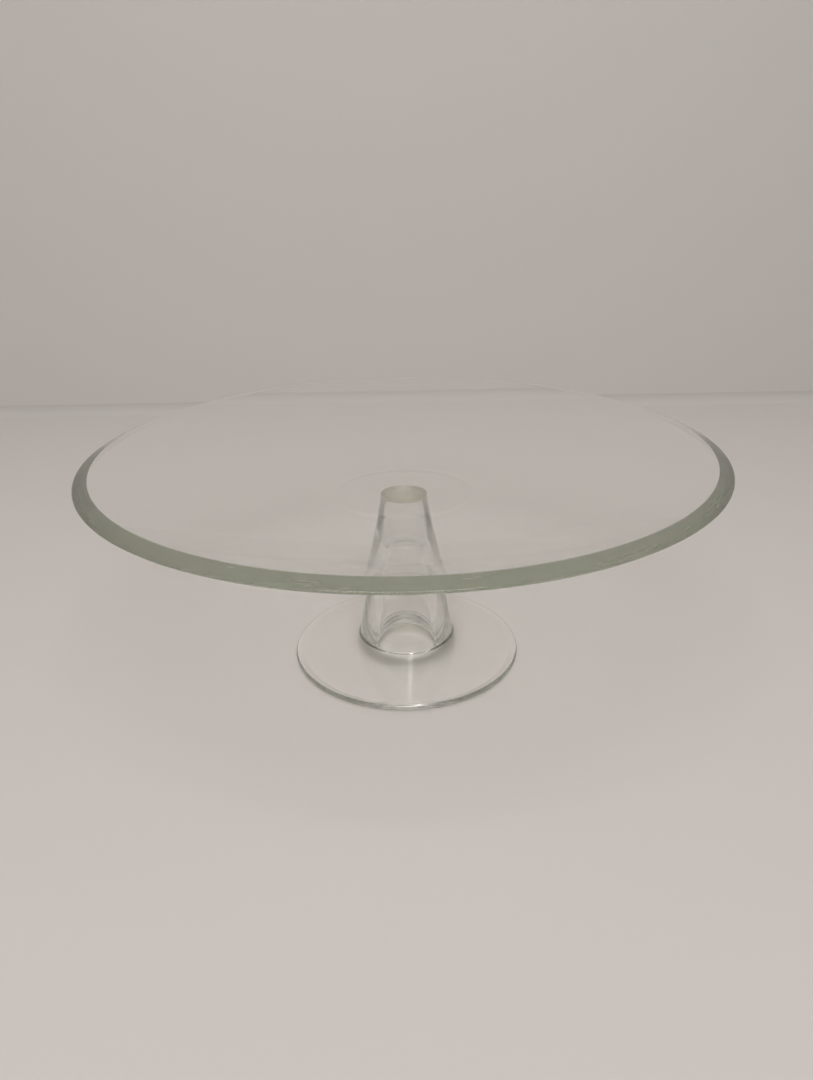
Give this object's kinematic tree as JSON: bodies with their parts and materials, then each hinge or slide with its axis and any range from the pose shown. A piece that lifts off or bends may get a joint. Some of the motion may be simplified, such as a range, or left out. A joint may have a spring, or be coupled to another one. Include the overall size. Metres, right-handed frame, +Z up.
{
  "type": "footed cake stand",
  "caption": "Clear glass cake stand: a shallow round dish with a wide bevelled rim, glued to a hollow tapering stem that flares into a round foot.",
  "frame": {"origin": "centre of the circle the foot rests on, at the supporting surface", "axes": "+Z up along the stem's axis; the object is a body of revolution, so X and Y are free"},
  "size_m": [0.3, 0.3, 0.1141],
  "materials": {
    "plate_glass": "polished clear glass with a faint green tint",
    "cured_glue": "clear cured adhesive with a slight olive tint",
    "pedestal_glass": "pressed clear glass"
  },
  "bodies": {
    "root": {"plate": "plate_glass", "adhesive_bond": "cured_glue", "pedestal": "pedestal_glass"}
  },
  "joints": []
}
